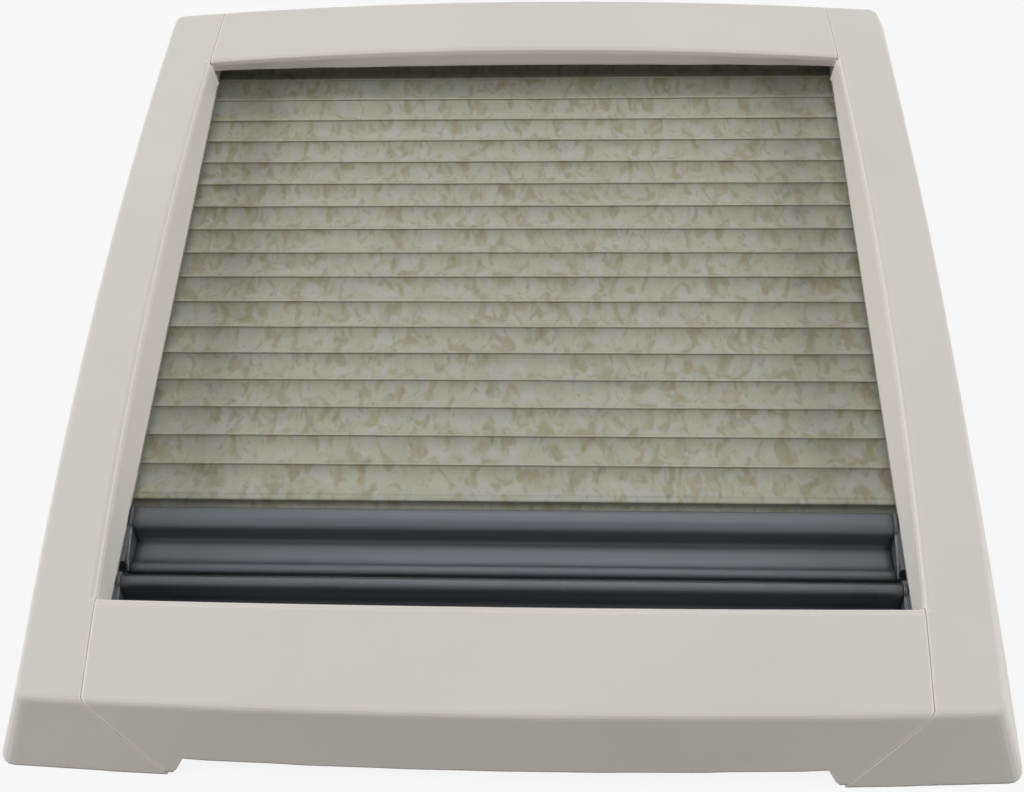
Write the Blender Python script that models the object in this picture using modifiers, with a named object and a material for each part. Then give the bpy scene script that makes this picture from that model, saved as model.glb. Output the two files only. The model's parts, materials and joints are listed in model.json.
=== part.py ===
"""Skylight window blind: a moulded inner frame with a pleated blind and a pleated fly screen.

The frame lies face up on the ends of its skirt. X runs across the blind, Y runs along its
travel with the fly screen at -Y, and +Z points into the room. Lengths are in metres.
"""
import math

import bmesh
import bpy
from mathutils import Matrix, Vector

# Face of the moulded frame, measured at the corners of its outer crease
FACE_X = 0.4624
FACE_Y = 0.458
CREASE_Z = 0.0314
CROWN = 0.0058
BOW_X = 0.0048
BOW_Y = 0.0061
BOW_FAR = 0.0044
CORNER_RADIUS = 0.006
CREASE_BLEND = 0.0025
WALL = 0.002

# Skirt between the crease and the foot
SKIRT_RUN_X = 0.0143
SKIRT_RUN_Y = 0.0243
FOOT_RADIUS = 0.0078
NOTCH_HALF = 0.1530
NOTCH_RISE = 0.0084
NOTCH_RAMP = 0.0075
NOTCH_EASE = 0.35
TOE_LIFT = 0.0012

# Opening in the face, its crease and the walls that run down from it
OPEN_X = 0.401
NEAR_EDGE = -0.1796
FAR_EDGE = 0.1827
LIP_SETBACK_X = 0.0004
LIP_SETBACK_Y = 0.0004
LIP_BOW_X = 0.0042
LIP_BOW_NEAR = 0.0026
LIP_BOW_FAR = 0.0062
LIP_RADIUS = 0.0022
LIP_BLEND = 0.003
RAIL_WALL_FOOT = 0.0155
CROSSBAR_WALL_FOOT = 0.0268
HEM_REACH = 0.005

# Seam between the rails and the crossbars
SEAM_GAP = 0.0003
TOE_WIDTH = 0.001

# Ribs, bosses and clip towers under the face
RIB_PITCH = 0.033
RIB_THICKNESS = 0.0014
RAIL_RIB_FOOT = 0.018
CROSSBAR_RIB_FOOT = 0.028
GUSSET_FOOT = 0.011
GUSSET_REACH = 0.005
BOSS_RADIUS = 0.0034
TOWER_X = 0.007
TOWER_Y = 0.009
TOWER_FOOT = 0.0015
TOWER_RIBS = (-3, 3)

# Clearance between pieces that touch, and running clearance of what slides
SEAT = 0.0003
RUNNING = 0.0004

# Guide tracks
TRACK_FOOT = 0.001
TRACK_WALL = 0.0012
TRACK_DEPTH = 0.0157
TRACK_END_SET = 0.003
EAR_LENGTH = 0.014
EAR_REACH = 0.0125
EAR_RIBS = (-5, 0, 5)

# Pull bars, bent walls seen from their ends as heights over the foot plane
BAR_WALL = 0.0015
BAR_FOOT = 0.002
BAR_FLOOR = 0.004
BAR_TOP = 0.016
LIP_TOP = 0.007
BLIND_BAR_FAR = -0.1224
RIDGE_FLAT = 0.0056
RIDGE_ROUND = 0.0048
RIDGE_LEAN = 0.0033
FINGER_FLOOR = 0.0107
BAR_LIP = 0.0068
LIP_RUN = 0.004
ROUND_RUN = 0.6
BAR_BREAK = 0.0008
BAR_GAP = 0.0008
SCREEN_RIDGE_LEAN = 0.0052
SCREEN_RIDGE_FLAT = 0.0009
SCREEN_RIDGE_ROUND = 0.0040
SCREEN_FINGER_FLOOR = 0.0076
CAP_SIDE_GAP = 0.0009
CAP_WALL = 0.0015
CAP_RISE = 0.0032
SHOE_LENGTH_SHARE = 0.84
PLUG_LENGTH = 0.014

# Pleated sheets
PLEATS = 19
CLOTH_LEAD = 0.010
CLOTH_THICKNESS = 0.0006
NET_THICKNESS = 0.0003
PLEAT_RISE = 0.0046
STACK_RISE = 0.0108
PLEAT_DROP_SHARE = 0.12
BAND_SHAPE = ((0.30, 0.42), (0.65, 0.78))
FOLD_SHAPE = (0.20, 0.45, 0.70)
CLOTH_TUCK = 0.0105

# Anchor strips that hold the fixed ends of the sheets
STRIP_WALL = 0.002
STRIP_FLANGE = 0.0086
STRIP_TOP = 0.016
STRIP_SIDE_GAP = 0.003
STRIP_RIBS = (-4, 0, 4)
STRIP_SCREW_SET = 0.0053

# Corner brackets
BRACKET_Z = 0.017
BRACKET_THICKNESS = 0.002
BRACKET_WIDTH = 0.014
BRACKET_SPAN = 0.051
BRACKET_LEG = 0.031
BRACKET_TRACK_SET = 0.0088
BRACKET_SET_Y = 0.018

# Screws
HEAD_RADIUS = 0.0025
HEAD_HEIGHT = 0.0017
SHANK_RADIUS = 0.0011
SHANK_LENGTH = 0.0075
PILOT_RADIUS = 0.0014
TIP_SHARE = 0.55
HEAD_EDGE_SHARE = 0.4
HEAD_FACE_SHARE = 0.8

# Tension cords with their plugs, springs and ferrules
CORD_RADIUS = 0.0005
CORD_INSET = 0.0018
PLUG_DEPTH = 0.010
PLUG_HEAD = 0.002
SPRING_RADIUS = 0.0017
SPRING_WIRE = 0.00025
SPRING_TURNS = 7
SPRING_LENGTH = 0.0095
FERRULE_RADIUS = 0.0014
FERRULE_LENGTH = 0.0036

# Spring clips on the towers
CLIP_THICKNESS = 0.0006
CLIP_HEIGHT = 0.008
CLIP_FOOT = 0.003
CLIP_FLARE = 0.0022

# Fineness of the curves
SIDE_SEGMENTS = 10
SEAM_SEGMENTS = 10
CORNER_SEGMENTS = 4
ROUND_SEGMENTS = 12
SMALL_SEGMENTS = 8
SMOOTH_ANGLE = math.radians(30)

OPEN_HALF = OPEN_X / 2
LIP_HALF_X = OPEN_HALF + LIP_SETBACK_X
LIP_NEAR = NEAR_EDGE - LIP_SETBACK_Y
LIP_FAR = FAR_EDGE + LIP_SETBACK_Y
OVERSIZE = 0.3
TRACK_TOP = RAIL_WALL_FOOT - SEAT
CHANNEL_FLOOR = TRACK_FOOT + TRACK_WALL
CHANNEL_ROOF = TRACK_TOP - TRACK_WALL
CHANNEL_BACK = OPEN_HALF + TRACK_DEPTH - TRACK_WALL
CORD_X = CHANNEL_BACK - CORD_INSET
CORD_Z = (CHANNEL_FLOOR + CHANNEL_ROOF) / 2
EAR_SCREW_X = OPEN_HALF + TRACK_DEPTH + EAR_REACH / 2
ANCHOR_Y = FACE_Y / 2
BRACKET_X = OPEN_HALF + TRACK_DEPTH + BRACKET_TRACK_SET
BRACKET_Y = FACE_Y / 2 - BRACKET_SET_Y
TRACK_HALF = ANCHOR_Y - TRACK_END_SET
STRIP_HALF = OPEN_HALF - STRIP_SIDE_GAP
CAP_OUTSIDE = OPEN_HALF - CAP_SIDE_GAP
BAR_HALF = CAP_OUTSIDE - CAP_WALL - SEAT
SEAM_TOE_X = NOTCH_HALF + NOTCH_RAMP + TOE_WIDTH
CLOTH_HALF = OPEN_HALF + CLOTH_TUCK
PLANES = {
    "XY": Matrix(((1, 0, 0), (0, 1, 0), (0, 0, 1))),
    "XZ": Matrix(((1, 0, 0), (0, 0, -1), (0, 1, 0))),
    "YZ": Matrix(((0, 0, 1), (1, 0, 0), (0, 1, 0))),
}


def clear_scene():
    for obj in list(bpy.data.objects):
        bpy.data.objects.remove(obj, do_unlink=True)


def make_collection(name):
    collection = bpy.data.collections.new(name)
    bpy.context.scene.collection.children.link(collection)
    return collection


def make_material(name, colour, roughness, metallic=0.0):
    material = bpy.data.materials.new(name)
    material.use_nodes = True
    shader = material.node_tree.nodes["Principled BSDF"]
    shader.inputs["Base Color"].default_value = (*colour, 1.0)
    shader.inputs["Roughness"].default_value = roughness
    shader.inputs["Metallic"].default_value = metallic
    material.diffuse_color = (*colour, 1.0)
    return material


clear_scene()
PARTS = make_collection("Skylight blind")
FRAME_PLASTIC = make_material("Frame plastic", (0.66, 0.63, 0.59), 0.45)
BAR_PLASTIC = make_material("Bar plastic", (0.20, 0.21, 0.23), 0.4)
TRACK_METAL = make_material("Track metal", (0.62, 0.63, 0.64), 0.35, 0.9)
BLIND_CLOTH = make_material("Blind cloth", (0.52, 0.47, 0.38), 0.9)
SCREEN_NET = make_material("Screen net", (0.08, 0.08, 0.09), 0.9)
CORD_FIBRE = make_material("Cord fibre", (0.80, 0.78, 0.74), 0.8)
STEEL = make_material("Steel", (0.55, 0.55, 0.56), 0.3, 1.0)


def new_object(name, mesh, material=None):
    obj = bpy.data.objects.new(name, mesh)
    PARTS.objects.link(obj)
    if material:
        obj.data.materials.clear()
        obj.data.materials.append(material)
    return obj


def object_from_bmesh(name, bm, material=None):
    mesh = bpy.data.meshes.new(name)
    bm.to_mesh(mesh)
    bm.free()
    return new_object(name, mesh, material)


def bake(obj):
    """Replace an object's mesh by the result of its modifiers."""
    bpy.context.view_layer.update()
    graph = bpy.context.evaluated_depsgraph_get()
    mesh = bpy.data.meshes.new_from_object(obj.evaluated_get(graph), depsgraph=graph)
    obj.modifiers.clear()
    obj.data = mesh


def combine(target, tool, operation):
    """Apply one Boolean to the target and remove the tool."""
    modifier = target.modifiers.new(operation.title(), "BOOLEAN")
    modifier.operation = operation
    modifier.solver = "EXACT"
    modifier.object = tool
    bake(target)
    bpy.data.objects.remove(tool, do_unlink=True)
    return target


def duplicate(obj, name):
    return new_object(name, obj.data.copy())


def mirrored(obj, name, axis, material=None):
    """A copy reflected through the plane square to the axis."""
    copy = new_object(name, obj.data.copy(), material)
    scale = Vector((1, 1, 1))
    scale["XYZ".index(axis)] = -1
    copy.data.transform(Matrix.Diagonal(scale).to_4x4())
    copy.data.flip_normals()
    return copy


def box(name, low, high):
    bm = bmesh.new()
    size = Vector(high) - Vector(low)
    centre = (Vector(high) + Vector(low)) / 2
    bmesh.ops.create_cube(bm, size=1.0, matrix=Matrix.LocRotScale(centre, None, size))
    return object_from_bmesh(name, bm)


def cylinder(name, centre, radius, length, axis="Z", segments=ROUND_SEGMENTS):
    bm = bmesh.new()
    turn = {"Y": Matrix.Rotation(math.pi / 2, 4, "X"), "Z": Matrix()}
    place = Matrix.Translation(centre) @ turn[axis]
    bmesh.ops.create_cone(bm, cap_ends=True, segments=segments, radius1=radius, radius2=radius,
                          depth=length, matrix=place)
    return object_from_bmesh(name, bm)


def upright(name, x, y, radius, low, high, segments=ROUND_SEGMENTS):
    return cylinder(name, (x, y, (low + high) / 2), radius, high - low, "Z", segments)


def solid_from_curve(name, curve, plane="XY", centre=(0, 0, 0), material=None):
    """Turn a curve object into one welded, closed mesh placed in the named plane."""
    curve_object = bpy.data.objects.new(name + " curve", curve)
    PARTS.objects.link(curve_object)
    bpy.context.view_layer.update()
    graph = bpy.context.evaluated_depsgraph_get()
    mesh = bpy.data.meshes.new_from_object(curve_object.evaluated_get(graph), depsgraph=graph)
    bpy.data.objects.remove(curve_object, do_unlink=True)
    bm = bmesh.new()
    bm.from_mesh(mesh)
    bmesh.ops.remove_doubles(bm, verts=bm.verts, dist=1e-6)
    bmesh.ops.recalc_face_normals(bm, faces=bm.faces)
    bmesh.ops.transform(bm, verts=bm.verts, matrix=Matrix.Translation(centre) @ PLANES[plane].to_4x4())
    return object_from_bmesh(name, bm, material)


def plate(name, outline, thickness, plane="XY", centre=(0, 0, 0), material=None):
    """A flat outline drawn in the plane and given its thickness on both sides of it."""
    curve = bpy.data.curves.new(name, "CURVE")
    curve.dimensions = "2D"
    curve.fill_mode = "BOTH"
    curve.extrude = thickness / 2
    spline = curve.splines.new("POLY")
    spline.points.add(len(outline) - 1)
    for point, (u, v) in zip(spline.points, outline):
        point.co = (u, v, 0, 1)
    spline.use_cyclic_u = True
    return solid_from_curve(name, curve, plane, centre, material)


def tube(name, points, radius, resolution, material):
    """A round tube along the points with closed ends."""
    curve = bpy.data.curves.new(name, "CURVE")
    curve.dimensions = "3D"
    curve.bevel_depth = radius
    curve.bevel_resolution = resolution
    curve.use_fill_caps = True
    spline = curve.splines.new("POLY")
    spline.points.add(len(points) - 1)
    for point, place in zip(spline.points, points):
        point.co = (*place, 1)
    return solid_from_curve(name, curve, material=material)


def bent_strip(name, line, thickness, half_length, material):
    """A thin wall that follows a line in the YZ plane and runs the length of X."""
    bm = bmesh.new()
    ends = []
    for x in (-half_length, half_length):
        ends.append([bm.verts.new((x, y, z)) for y, z in line])
    for i in range(len(line) - 1):
        bm.faces.new((ends[0][i], ends[0][i + 1], ends[1][i + 1], ends[1][i]))
    obj = object_from_bmesh(name, bm, material)
    wall = obj.modifiers.new("Wall", "SOLIDIFY")
    wall.thickness = thickness
    wall.offset = -1
    wall.use_even_offset = True
    return obj


def place_copies(source, names, places):
    """Objects that share the source's mesh, one at each place; the source itself goes."""
    copies = []
    for name, place in zip(names, places):
        copy = new_object(name, source.data)
        copy.location = place
        copies.append(copy)
    bpy.data.objects.remove(source, do_unlink=True)
    return copies


# Moulded frame


def crown_height(x, y):
    """Height of the pillowed face over the foot plane."""
    across = 2 * x / FACE_X
    along = 2 * y / FACE_Y
    return CREASE_Z + CROWN * (1 - (across * along) ** 2)


def ring_loop(half_x, near, far, bow_x, bow_near, bow_far, radius):
    """A rounded rectangle whose sides bow outward, from the near left corner round."""
    steps = [2 * i / SIDE_SEGMENTS - 1 for i in range(SIDE_SEGMENTS + 1)]
    turns = [math.pi / 2 * k / CORNER_SEGMENTS for k in range(1, CORNER_SEGMENTS)]
    run_x = half_x - radius
    low, high = near + radius, far - radius
    middle, run_y = (low + high) / 2, (high - low) / 2
    points = [(t * run_x, near - bow_near * (1 - t * t)) for t in steps]
    points += [(run_x + radius * math.sin(a), low - radius * math.cos(a)) for a in turns]
    points += [(half_x + bow_x * (1 - t * t), middle + t * run_y) for t in steps]
    points += [(run_x + radius * math.cos(a), high + radius * math.sin(a)) for a in turns]
    points += [(-t * run_x, far + bow_far * (1 - t * t)) for t in steps]
    points += [(-run_x - radius * math.sin(a), high + radius * math.cos(a)) for a in turns]
    points += [(-half_x - bow_x * (1 - t * t), middle - t * run_y) for t in steps]
    points += [(-run_x - radius * math.cos(a), low - radius * math.sin(a)) for a in turns]
    return [Vector((x, y, 0)) for x, y in points]


def on_face(point):
    return Vector((point.x, point.y, crown_height(point.x, point.y)))


def blend_arc(start, corner, end, shares):
    """Points on the rounding that touches both lines meeting at the corner."""
    return [(1 - t) ** 2 * start + 2 * t * (1 - t) * corner + t * t * end for t in shares]


def square_runs(loop, directions, width):
    """How far to go in each direction from the loop's points to be the width away from its edge."""
    runs = []
    for i, direction in enumerate(directions):
        edge = (loop[(i + 1) % len(loop)] - loop[i - 1]).normalized()
        runs.append(width / abs(edge.cross(direction).z))
    return runs


def section_columns():
    """Columns of points from the foot of the skirt over the face to the foot of the wall."""
    half_x, half_y = FACE_X / 2, FACE_Y / 2
    crease = [on_face(p) for p in ring_loop(half_x, -half_y, half_y, BOW_X, BOW_Y, BOW_FAR, CORNER_RADIUS)]
    foot = ring_loop(half_x + SKIRT_RUN_X, -half_y - SKIRT_RUN_Y, half_y + SKIRT_RUN_Y,
                     BOW_X, BOW_Y, BOW_Y, FOOT_RADIUS)
    lip = [on_face(p) for p in ring_loop(LIP_HALF_X, LIP_NEAR, LIP_FAR, LIP_BOW_X, LIP_BOW_NEAR,
                                         LIP_BOW_FAR, LIP_RADIUS)]
    wall_foot = ring_loop(OPEN_HALF, NEAR_EDGE, FAR_EDGE, 0, 0, 0, LIP_RADIUS)
    directions = [Vector((b.x - a.x, b.y - a.y, 0)).normalized() for a, b in zip(crease, lip)]
    lip_runs = square_runs(lip, directions, LIP_BLEND)
    columns = []
    for outer, low, inner, hem, inward, lip_run in zip(crease, foot, lip, wall_foot, directions, lip_runs):
        hem = Vector((hem.x, hem.y, RAIL_WALL_FOOT))
        down = (low - outer).normalized()
        extended_foot = low + down * 2 * WALL
        wall_down = (hem - inner).normalized()
        skirt_point = outer + down * CREASE_BLEND
        face_start = on_face(outer + inward * CREASE_BLEND)
        face_end = on_face(inner - inward * lip_run)
        wall_point = inner + wall_down * LIP_BLEND
        column = [extended_foot]
        column += blend_arc(skirt_point, outer, face_start, (0, 1 / 3, 2 / 3, 1))
        column += [on_face(face_start.lerp(face_end, share)) for share in (1 / 3, 2 / 3)]
        column += blend_arc(face_end, inner, wall_point, (0, 0.5, 1))
        column.append(hem + wall_down * WALL)
        columns.append(column)
    return columns


def surface_from_columns(columns, wrap):
    """A skin of triangles between neighbouring columns, all the way round the opening."""
    bm = bmesh.new()
    grid = [[bm.verts.new(point) for point in column] for column in columns]
    rows = len(columns[0])
    for i, column in enumerate(grid):
        following = grid[(i + 1) % len(grid)]
        for j in range(rows if wrap else rows - 1):
            k = (j + 1) % rows
            bm.faces.new((column[j], following[j], following[k], column[k]))
    bmesh.ops.triangulate(bm, faces=bm.faces)
    bmesh.ops.recalc_face_normals(bm, faces=bm.faces)
    return bm


def outer_skin():
    """The visible surface of the whole frame, facing out."""
    bm = surface_from_columns(section_columns(), wrap=False)
    top = max(bm.faces, key=lambda face: face.calc_center_median().z)
    if top.normal.z < 0:
        bmesh.ops.reverse_faces(bm, faces=bm.faces)
    return bm


def make_ring():
    """The whole shell, before it is parted into rails and crossbars."""
    ring = object_from_bmesh("ring", outer_skin())
    shell = ring.modifiers.new("Wall", "SOLIDIFY")
    shell.thickness = WALL
    shell.offset = -1
    bake(ring)
    floor = box("floor", (-OVERSIZE, -OVERSIZE, -OVERSIZE), (OVERSIZE, OVERSIZE, 0))
    combine(ring, floor, "DIFFERENCE")
    hem_x = OPEN_HALF + HEM_REACH
    hem = box("hem", (-hem_x, NEAR_EDGE - HEM_REACH, 0), (hem_x, FAR_EDGE + HEM_REACH, RAIL_WALL_FOOT))
    combine(ring, hem, "DIFFERENCE")
    ramp = NOTCH_HALF + NOTCH_RAMP
    half_ramp = NOTCH_HALF + NOTCH_RAMP / 2
    eased = NOTCH_EASE * NOTCH_RISE
    outline = [(-ramp, -WALL), (-ramp, 0), (-half_ramp, eased), (-NOTCH_HALF, NOTCH_RISE),
               (NOTCH_HALF, NOTCH_RISE), (half_ramp, eased), (ramp, 0), (ramp, -WALL)]
    combine(ring, plate("notch", outline, 2 * OVERSIZE, "XZ"), "DIFFERENCE")
    return ring


def make_core():
    """The space under the middle of the shell's wall, down to the foot plane."""
    bm = outer_skin()
    bm.normal_update()
    bm.verts.ensure_lookup_table()
    rows = len(section_columns()[0])
    inner = [vert.co - vert.normal * WALL / 2 for vert in bm.verts]
    bm.free()
    columns = [inner[i:i + rows] for i in range(0, len(inner), rows)]
    for column in columns:
        column.append(Vector((column[-1].x, column[-1].y, column[0].z)))
    return object_from_bmesh("core", surface_from_columns(columns, wrap=True))


def seam_x(y):
    """Half width of the seam: the arc of the opening's side crease, carried on."""
    middle = (LIP_NEAR + LIP_FAR) / 2
    half = (LIP_FAR - LIP_NEAR) / 2
    return LIP_HALF_X + LIP_BOW_X * (1 - ((y - middle) / half) ** 2)


def rail_zone(name, grow):
    """The space that belongs to the left rail, grown towards the middle."""
    inside = OPEN_HALF - 2 * WALL
    line = []
    for near, far in ((-OVERSIZE, LIP_NEAR), (LIP_FAR, OVERSIZE)):
        span = [near + (far - near) * i / SEAM_SEGMENTS for i in range(SEAM_SEGMENTS + 1)]
        line.append([(-seam_x(y) + grow, y) for y in span])
    near_open = NEAR_EDGE + SEAM_GAP
    far_open = FAR_EDGE - SEAM_GAP
    outline = [(-OVERSIZE, -OVERSIZE)] + line[0][:-1]
    outline += [(-seam_x(near_open) + grow, near_open), (-inside, near_open)]
    outline += [(-inside, far_open), (-seam_x(far_open) + grow, far_open)]
    outline += line[1][1:] + [(-OVERSIZE, OVERSIZE)]
    zone = plate(name, outline, 2 * OVERSIZE)
    reach = FACE_Y / 2 - WALL / 2
    top_x = seam_x(FACE_Y / 2)
    top_z = crown_height(top_x, FACE_Y / 2)
    slope = (top_x - SEAM_TOE_X) / top_z
    low_z = -2 * WALL
    wedge = [(-FACE_X / 2, top_z), (-top_x + grow, top_z), (-SEAM_TOE_X - slope * low_z + grow, low_z),
             (-FACE_X / 2, low_z)]
    for side in (-1, 1):
        centre = (0, side * (reach + OVERSIZE) / 2, 0)
        combine(zone, plate("toe", wedge, OVERSIZE - reach - WALL, "XZ", centre), "UNION")
    return zone


def add_stiffeners(shell, shapes, core):
    """Weld ribs, bosses and towers to the shell, each trimmed by the middle of its wall."""
    for shape in shapes:
        combine(shape, duplicate(core, "trim"), "INTERSECT")
        combine(shell, shape, "UNION")


def drill(target, x, y, low):
    pilot = upright("pilot", x, y, PILOT_RADIUS, low - WALL, low + SHANK_LENGTH + SEAT, SMALL_SEGMENTS)
    combine(target, pilot, "DIFFERENCE")


def rail_shapes():
    """Ribs, screw bosses, wall ends and clip towers of the left rail."""
    shapes = []
    skirt = FACE_X / 2 + GUSSET_REACH
    count = int(max(EAR_RIBS))
    for index in range(-count, count + 1):
        y = index * RIB_PITCH
        outline = [(-OPEN_HALF, OVERSIZE), (-OPEN_HALF, RAIL_RIB_FOOT), (-skirt, RAIL_RIB_FOOT),
                   (-skirt, GUSSET_FOOT), (-OVERSIZE, GUSSET_FOOT), (-OVERSIZE, OVERSIZE)]
        shapes.append(plate("rib", outline, RIB_THICKNESS, "XZ", (0, y, 0)))
    for index in EAR_RIBS:
        y = index * RIB_PITCH
        shapes.append(upright("boss", -EAR_SCREW_X, y, BOSS_RADIUS, RAIL_WALL_FOOT, OVERSIZE))
    for x, y in rail_bracket_screws():
        shapes.append(upright("boss", x, y, BOSS_RADIUS, BRACKET_Z + BRACKET_THICKNESS + SEAT, OVERSIZE))
    tail_x, tail_top = OPEN_HALF + SEAT, CROSSBAR_WALL_FOOT - RUNNING
    tail_end = BRACKET_Y - BRACKET_WIDTH / 2 - 2 * RUNNING
    for start, end in ((-tail_end, NEAR_EDGE + LIP_RADIUS), (FAR_EDGE - LIP_RADIUS, tail_end)):
        shapes.append(box("tail", (-tail_x - WALL, start, RAIL_WALL_FOOT), (-tail_x, end, tail_top)))
    for x, y in tower_places():
        low = (x - TOWER_X / 2, y - TOWER_Y / 2, TOWER_FOOT)
        shapes.append(box("tower", low, (x + TOWER_X / 2, y + TOWER_Y / 2, OVERSIZE)))
    return shapes


def rail_bracket_screws():
    """Left rail screws of the two corner brackets."""
    return [(-BRACKET_X, side * BRACKET_Y) for side in (-1, 1)]


def crossbar_bracket_screws(side):
    """Crossbar screws of the corner brackets on the near side at -1 or the far side at 1."""
    x = BRACKET_X - BRACKET_SPAN
    return [(-x, side * BRACKET_Y), (x, side * BRACKET_Y)]


def tower_places():
    """Clip towers of the left rail, beside the skirt's ribs."""
    return [(-FACE_X / 2 - TOWER_X / 2, index * RIB_PITCH) for index in TOWER_RIBS]


def strip_screws(side):
    return [(index * RIB_PITCH, side * (ANCHOR_Y + STRIP_SCREW_SET)) for index in STRIP_RIBS]


def crossbar_shapes(side):
    """Ribs and screw bosses of the near crossbar at -1 or the far crossbar at 1."""
    shapes = []
    count = int(NOTCH_HALF / RIB_PITCH)
    skirt = FACE_Y / 2 + STRIP_FLANGE + GUSSET_REACH
    edge = FAR_EDGE if side > 0 else -NEAR_EDGE
    outline = [(edge, OVERSIZE), (edge, CROSSBAR_RIB_FOOT), (skirt, CROSSBAR_RIB_FOOT),
               (skirt, GUSSET_FOOT), (OVERSIZE, GUSSET_FOOT), (OVERSIZE, OVERSIZE)]
    for index in range(-count, count + 1):
        turned = [(side * y, z) for y, z in outline]
        shapes.append(plate("rib", turned, RIB_THICKNESS, "YZ", (index * RIB_PITCH, 0, 0)))
    for x, y in strip_screws(side):
        shapes.append(upright("boss", x, y, BOSS_RADIUS, STRIP_TOP + SEAT, OVERSIZE))
    for x, y in crossbar_bracket_screws(side):
        shapes.append(upright("boss", x, y, BOSS_RADIUS, BRACKET_Z + BRACKET_THICKNESS + SEAT, OVERSIZE))
    return shapes


def shade(obj):
    obj.data.shade_smooth()
    obj.data.set_sharp_from_angle(angle=SMOOTH_ANGLE)


def make_rails(ring, core):
    left = duplicate(ring, "left_rail")
    combine(left, rail_zone("zone", -SEAM_GAP / 2), "INTERSECT")
    add_stiffeners(left, rail_shapes(), core)
    for index in EAR_RIBS:
        drill(left, -EAR_SCREW_X, index * RIB_PITCH, RAIL_WALL_FOOT)
    for x, y in rail_bracket_screws():
        drill(left, x, y, BRACKET_Z + BRACKET_THICKNESS + SEAT)
    left.data.materials.clear()
    left.data.materials.append(FRAME_PLASTIC)
    shade(left)
    return [left, mirrored(left, "right_rail", "X", FRAME_PLASTIC)]


def make_crossbars(ring, core):
    both = duplicate(ring, "crossbars")
    zone = rail_zone("zone", SEAM_GAP / 2)
    combine(both, mirrored(zone, "right zone", "X"), "DIFFERENCE")
    combine(both, zone, "DIFFERENCE")
    bars = []
    for name, side, edge in (("near_crossbar", -1, NEAR_EDGE), ("far_crossbar", 1, FAR_EDGE)):
        bar = duplicate(both, name)
        near, far = sorted((0, side * OVERSIZE))
        half_space = box("half", (-OVERSIZE, near, -OVERSIZE), (OVERSIZE, far, OVERSIZE))
        combine(bar, half_space, "INTERSECT")
        hem = box("hem", (-OVERSIZE, edge - HEM_REACH, 0), (OVERSIZE, edge + HEM_REACH, CROSSBAR_WALL_FOOT))
        combine(bar, hem, "DIFFERENCE")
        toe = box("toe", (-OVERSIZE, -OVERSIZE, -OVERSIZE), (OVERSIZE, OVERSIZE, TOE_LIFT))
        combine(bar, toe, "DIFFERENCE")
        add_stiffeners(bar, crossbar_shapes(side), core)
        for x, y in strip_screws(side):
            drill(bar, x, y, STRIP_TOP + SEAT)
        for x, y in crossbar_bracket_screws(side):
            drill(bar, x, y, BRACKET_Z + BRACKET_THICKNESS + SEAT)
        bar.data.materials.clear()
        bar.data.materials.append(FRAME_PLASTIC)
        shade(bar)
        bars.append(bar)
    bpy.data.objects.remove(both, do_unlink=True)
    return bars


# Guide tracks


def make_tracks():
    """Channels that open towards the middle, hung from the rails by their ears."""
    back = OPEN_HALF + TRACK_DEPTH
    section = [(-OPEN_HALF, TRACK_FOOT), (-OPEN_HALF, CHANNEL_FLOOR), (-CHANNEL_BACK, CHANNEL_FLOOR),
               (-CHANNEL_BACK, CHANNEL_ROOF), (-OPEN_HALF, CHANNEL_ROOF), (-OPEN_HALF, TRACK_TOP),
               (-back, TRACK_TOP), (-back, TRACK_FOOT)]
    track = plate("left_guide_track", section, 2 * TRACK_HALF, "XZ", material=TRACK_METAL)
    for index in EAR_RIBS:
        y = index * RIB_PITCH
        low = (-back - EAR_REACH, y - EAR_LENGTH / 2, CHANNEL_ROOF)
        combine(track, box("ear", low, (-CHANNEL_BACK, y + EAR_LENGTH / 2, TRACK_TOP)), "UNION")
        hole = upright("hole", -EAR_SCREW_X, y, PILOT_RADIUS, TRACK_FOOT, OVERSIZE, SMALL_SEGMENTS)
        combine(track, hole, "DIFFERENCE")
    return [track, mirrored(track, "right_guide_track", "X", TRACK_METAL)]


# Pull bars


def bar_line(far, lean, flat, rounding, floor):
    """A bent bar in the YZ plane: its ridge from the far foot to the near edge, and its trough."""
    crest_far = far - lean - BAR_BREAK
    crest_near = crest_far - flat
    wall_top = crest_near - rounding
    wall_foot = wall_top - RIDGE_LEAN
    floor_end = wall_foot - floor
    near = floor_end - BAR_BREAK - BAR_LIP
    start, end = Vector((crest_near, BAR_TOP)), Vector((wall_top, BAR_TOP - rounding / 2))
    corner = Vector((crest_near - ROUND_RUN * rounding, BAR_TOP))
    arc = [tuple(point) for point in blend_arc(start, corner, end, (0, 1 / 3, 2 / 3, 1))]
    ridge = [(far, BAR_FOOT), (far - lean, BAR_TOP - BAR_BREAK), (crest_far, BAR_TOP)] + arc
    trough = [(wall_foot, BAR_FLOOR + BAR_BREAK), (wall_foot - BAR_BREAK, BAR_FLOOR), (floor_end, BAR_FLOOR),
              (floor_end - LIP_RUN, LIP_TOP), (near + BAR_BREAK, LIP_TOP), (near, LIP_TOP - BAR_BREAK),
              (near, BAR_FOOT)]
    return ridge, trough


def bar_lines():
    """Lines of the blind's bar and of the fly screen's bar, which starts just behind it."""
    blind = bar_line(BLIND_BAR_FAR, 0, RIDGE_FLAT, RIDGE_ROUND, FINGER_FLOOR)
    far = blind[1][-1][0] - BAR_GAP
    screen = bar_line(far, SCREEN_RIDGE_LEAN, SCREEN_RIDGE_FLAT, SCREEN_RIDGE_ROUND, SCREEN_FINGER_FLOOR)
    return blind, screen


def make_pull_bar(name, line):
    bar = bent_strip(name, line, BAR_WALL, BAR_HALF, BAR_PLASTIC)
    shade(bar)
    return bar


def wall_y(foot, top, z, clearance):
    """Where a leaning wall's line stands at a height, moved square to the wall by the clearance."""
    lean = (top[0] - foot[0]) / (top[1] - foot[1])
    return foot[0] + lean * (z - foot[1]) + clearance * math.hypot(1, lean)


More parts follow.
